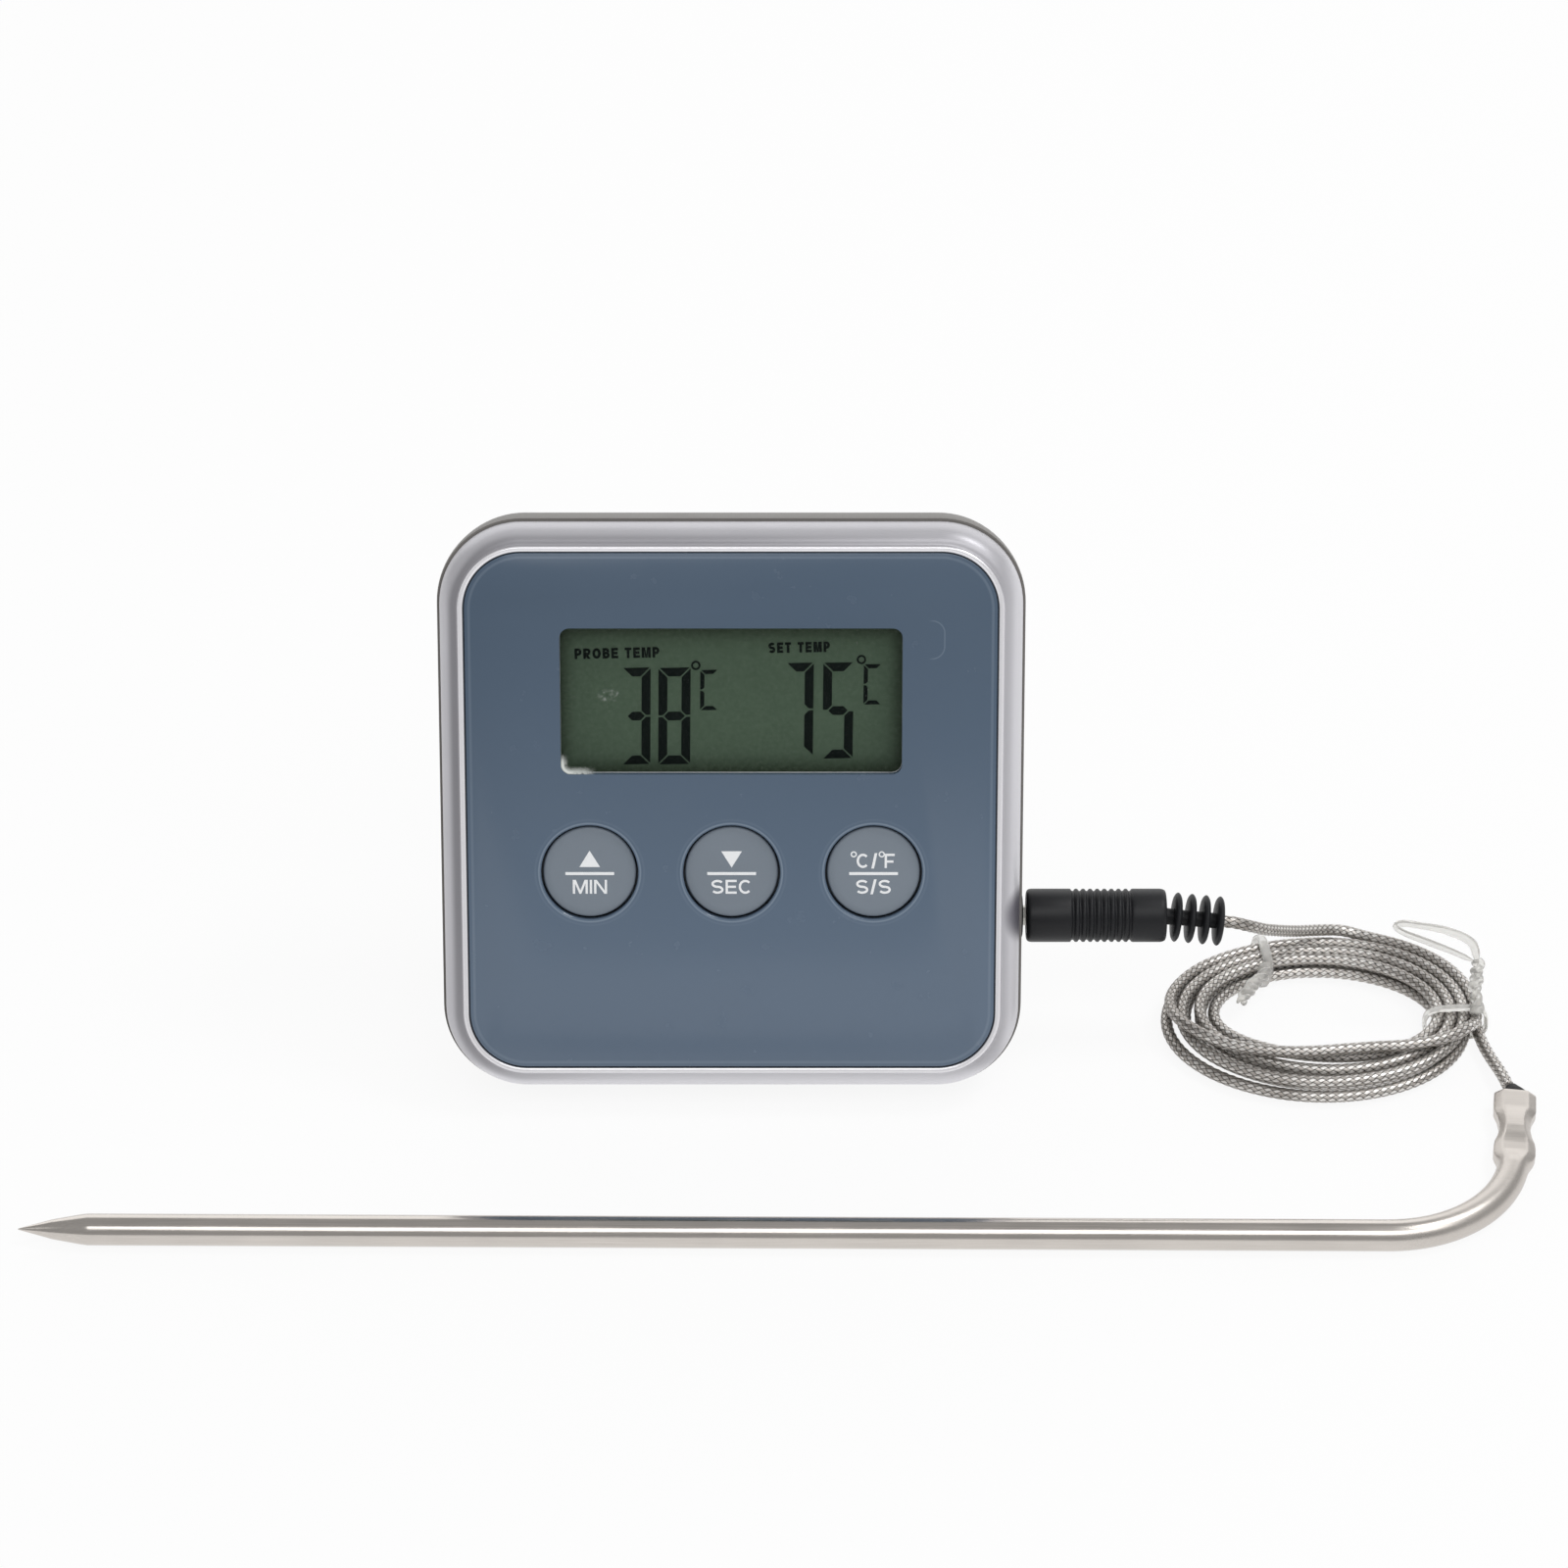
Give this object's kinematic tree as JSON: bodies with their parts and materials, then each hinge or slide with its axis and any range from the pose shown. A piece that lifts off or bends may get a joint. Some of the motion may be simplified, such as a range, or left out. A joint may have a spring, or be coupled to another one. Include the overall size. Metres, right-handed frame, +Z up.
{
  "type": "meat thermometer",
  "caption": "Square kitchen timer and thermometer on a fold-out stand, with round buttons, a display and a bent needle probe on a coiled braided lead that plugs into its side.",
  "frame": {"origin": "on the table, under the middle of the display unit and its probe", "axes": "+X to the right along the probe, +Y away from the viewer, +Z up"},
  "size_m": [0.183, 0.067, 0.0682],
  "materials": {
    "satin_silver": "satin silver",
    "grey_shell": "fine satin grey",
    "panel": "back-printed clear plastic, gloss",
    "button": "satin",
    "display": "display glass",
    "film": "reflector film",
    "white_plastic": "satin",
    "black_plastic": "satin",
    "chip": "potted epoxy",
    "rubber": "matte",
    "board": "solder mask",
    "tape": "adhesive film",
    "steel": "polished stainless",
    "braid": "braided stainless wire",
    "brass": "plain",
    "nickel": "nickel plated",
    "cell_jacket": "plain wrapped can",
    "clear_tie": "clear",
    "epoxy": "potted",
    "wire_sleeve": "satin"
  },
  "bodies": {
    "unit": {"front_bezel": "satin_silver", "rear_cover": "grey_shell", "face_panel": "panel", "panel_adhesive": "tape", "lcd_cell": "display", "lcd_reflector": "film", "lcd_frame": "white_plastic", "zebra_strip": "rubber", "circuit_board": "board", "chip_blob": "chip", "tact_body_1": "black_plastic", "tact_body_2": "black_plastic", "tact_body_3": "black_plastic", "battery_cell": "cell_jacket", "battery_spring": "nickel", "battery_plate": "nickel", "magnet_left": "nickel", "magnet_right": "nickel", "buzzer_disc": "brass", "power_switch_body": "black_plastic", "mode_switch_body": "black_plastic", "case_screw_1": "nickel", "case_screw_2": "nickel", "case_screw_3": "nickel", "case_screw_4": "nickel", "board_screw_1": "nickel", "board_screw_2": "nickel", "jack_body": "black_plastic", "jack_tip_spring": "brass", "jack_ground_spring": "brass"},
    "up_minutes_key": {"button_up_minutes": "button", "tact_plunger_1": "white_plastic"},
    "down_seconds_key": {"button_down_seconds": "button", "tact_plunger_2": "white_plastic"},
    "units_start_key": {"button_units_start": "button", "tact_plunger_3": "white_plastic"},
    "stand_leg": {"stand": "grey_shell"},
    "door": {"battery_door": "grey_shell"},
    "power_knob": {"power_switch_knob": "black_plastic"},
    "mode_knob": {"mode_switch_knob": "black_plastic"},
    "probe_lead": {"plug_tip": "nickel", "plug_insulator": "chip", "plug_sleeve": "nickel", "plug_handle": "black_plastic", "strain_relief": "black_plastic", "cord_lead": "braid", "cord_coil": "braid", "cord_tail": "braid", "twist_tie_left": "clear_tie", "twist_tie_right": "clear_tie", "probe_tube": "steel", "thermistor_bead": "epoxy", "sensor_wires": "wire_sleeve", "probe_seal": "rubber"}
  },
  "joints": [
    {"name": "up_minutes_press", "type": "slide", "parent": "unit", "child": "up_minutes_key", "axis": [0, 0.9304, -0.3665], "range_m": [0, 0.0005], "stiffness_N_per_m": 3000},
    {"name": "down_seconds_press", "type": "slide", "parent": "unit", "child": "down_seconds_key", "axis": [0, 0.9304, -0.3665], "range_m": [0, 0.0005], "stiffness_N_per_m": 3000},
    {"name": "units_start_press", "type": "slide", "parent": "unit", "child": "units_start_key", "axis": [0, 0.9304, -0.3665], "range_m": [0, 0.0005], "stiffness_N_per_m": 3000},
    {"name": "stand_fold", "type": "hinge", "parent": "unit", "child": "stand_leg", "pos_m": [-0.00719, 0.02045, 0.02915], "axis": [1, 0, 0], "range_deg": [-43, 0]},
    {"name": "door_slide", "type": "slide", "parent": "unit", "child": "door", "axis": [0, 0.3665, 0.9304], "range_m": [0, 0.015]},
    {"name": "power_knob_slide", "type": "slide", "parent": "unit", "child": "power_knob", "axis": [1, 0, 0], "range_m": [0, 0.0025]},
    {"name": "mode_knob_slide", "type": "slide", "parent": "unit", "child": "mode_knob", "axis": [1, 0, 0], "range_m": [0, 0.0025]},
    {"name": "plug_pull", "type": "slide", "parent": "unit", "child": "probe_lead", "axis": [1, 0, 0], "range_m": [0, 0.02]}
  ]
}
